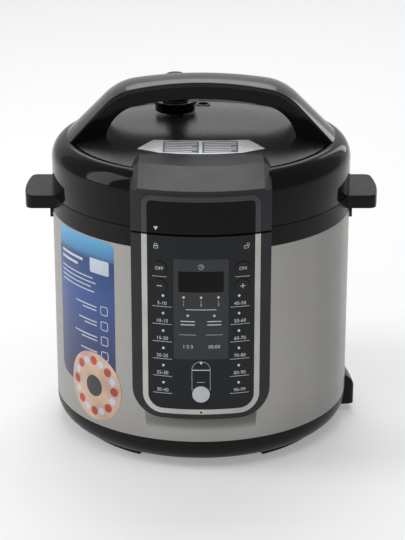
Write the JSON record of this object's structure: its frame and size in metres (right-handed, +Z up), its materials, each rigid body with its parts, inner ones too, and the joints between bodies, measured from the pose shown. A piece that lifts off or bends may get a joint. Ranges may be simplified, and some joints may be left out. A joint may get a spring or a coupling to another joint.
{
  "type": "electric pressure cooker",
  "caption": "Electric pressure cooker: steel body with a front control panel, twist-lock lid under an arched handle, pressure release knob, side handles and a rear condensate cup.",
  "frame": {"origin": "on the table plane, at the cooker's axis, which is the middle of its box seen from above", "axes": "+Z up along the cooker's axis, the control panel faces -Y, +X to the right as seen from the front"},
  "size_m": [0.336, 0.315, 0.341],
  "materials": {
    "casing_black": "satin",
    "casing_grey": "matte",
    "gloss_black": "gloss",
    "gloss_cover": "gloss",
    "brushed_body": "brushed vertically bright",
    "polished_steel": "satin",
    "trim_silver": "silver paint",
    "panel_grey": "printed film",
    "window_black": "gloss",
    "key_black": "gloss",
    "key_white": "gloss",
    "lamp_clear": "gloss",
    "pot_coating": "non-stick",
    "vessel_metal": "satin",
    "cast_aluminium": "cast",
    "zinc_steel": "zinc plated",
    "silicone": "soft",
    "foot_rubber": "soft",
    "circuit_board": "satin",
    "component_black": "matte",
    "component_blue": "satin",
    "connector_white": "matte",
    "transformer_core": "matte",
    "contact_brass": "satin",
    "cup_plastic": "translucent smoke"
  },
  "bodies": {
    "base": {"base_pan": "casing_black", "foot_pads": "foot_rubber", "bottom_cover": "zinc_steel", "cover_screws": "zinc_steel", "steel_sleeve": "brushed_body", "upper_ring": "casing_black", "left_handle": "casing_black", "right_handle": "casing_black", "left_handle_plate": "casing_black", "right_handle_plate": "casing_black", "outer_pot": "vessel_metal", "inner_pot": "pot_coating", "heating_plate": "cast_aluminium", "heating_element": "polished_steel", "disc_spring": "zinc_steel", "sensor_cup": "zinc_steel", "sensor_spring": "polished_steel", "panel_housing": "casing_grey", "panel_trim": "trim_silver", "panel_face": "panel_grey", "display_window": "window_black", "display_module": "component_black", "control_board": "circuit_board", "board_screws": "zinc_steel", "indicator_lamps": "lamp_clear", "key_switches": "component_black", "inlet_socket": "component_black", "inlet_blades": "contact_brass", "power_board": "circuit_board", "power_screws": "zinc_steel", "relay": "component_black", "transformer": "transformer_core", "terminal_block": "connector_white", "capacitors": "component_blue", "pressure_switch": "component_black", "thermal_fuse": "connector_white", "cup_holder": "casing_black"},
    "sensor": {"temperature_sensor": "polished_steel"},
    "cancel_button": {"cancel_key": "key_black"},
    "confirm_button": {"confirm_key": "key_black"},
    "minus_button": {"minus_key": "key_black"},
    "plus_button": {"plus_key": "key_black"},
    "start_button": {"start_key": "key_white"},
    "cup": {"condensate_cup": "cup_plastic"},
    "seal": {"sealing_ring": "silicone"},
    "lid": {"lid_ring": "gloss_black", "lid_dome": "gloss_black", "arch_cover": "gloss_cover", "arch_body": "gloss_black", "front_bracket": "casing_grey", "lid_trim": "casing_grey", "lid_panel": "window_black", "pressure_lid": "polished_steel", "seal_rack": "polished_steel", "lid_screws": "zinc_steel", "exhaust_pipe": "polished_steel", "pipe_shield": "polished_steel"},
    "knob": {"steam_knob": "gloss_black"},
    "float": {"float_pin": "casing_black", "float_seal": "silicone"}
  },
  "joints": [
    {"name": "sensor_slide", "type": "slide", "parent": "base", "child": "sensor", "axis": [0, 0, 1], "range_m": [-0.002, 0], "stiffness_N_per_m": 300, "springref_m": 0.004, "deforming": ["sensor_spring"]},
    {"name": "cancel_press", "type": "slide", "parent": "base", "child": "cancel_button", "axis": [0, 1, 0], "range_m": [0, 0.0006], "stiffness_N_per_m": 400, "springref_m": -0.002},
    {"name": "confirm_press", "type": "slide", "parent": "base", "child": "confirm_button", "axis": [0, 1, 0], "range_m": [0, 0.0006], "stiffness_N_per_m": 400, "springref_m": -0.002},
    {"name": "minus_press", "type": "slide", "parent": "base", "child": "minus_button", "axis": [0, 1, 0], "range_m": [0, 0.0006], "stiffness_N_per_m": 400, "springref_m": -0.002},
    {"name": "plus_press", "type": "slide", "parent": "base", "child": "plus_button", "axis": [0, 1, 0], "range_m": [0, 0.0006], "stiffness_N_per_m": 400, "springref_m": -0.002},
    {"name": "start_press", "type": "slide", "parent": "base", "child": "start_button", "axis": [0, 1, 0], "range_m": [0, 0.0006], "stiffness_N_per_m": 400, "springref_m": -0.002},
    {"name": "cup_slide", "type": "slide", "parent": "base", "child": "cup", "axis": [0, 1, 0], "range_m": [0, 0.03]},
    {"name": "lid_lift", "type": "slide", "parent": "base", "child": "seal", "axis": [0, 0, 1], "range_m": [0, 0.12]},
    {"name": "lid_twist", "type": "hinge", "parent": "seal", "child": "lid", "pos_m": [0, 0, 0.24], "axis": [0, 0, 1], "range_deg": [0, 30]},
    {"name": "knob_turn", "type": "hinge", "parent": "lid", "child": "knob", "pos_m": [-0.025, 0.043, 0.31], "axis": [0, 0, 1], "range_deg": [0, 60]},
    {"name": "float_rise", "type": "slide", "parent": "lid", "child": "float", "axis": [0, 0, 1], "range_m": [0, 0.004]}
  ]
}
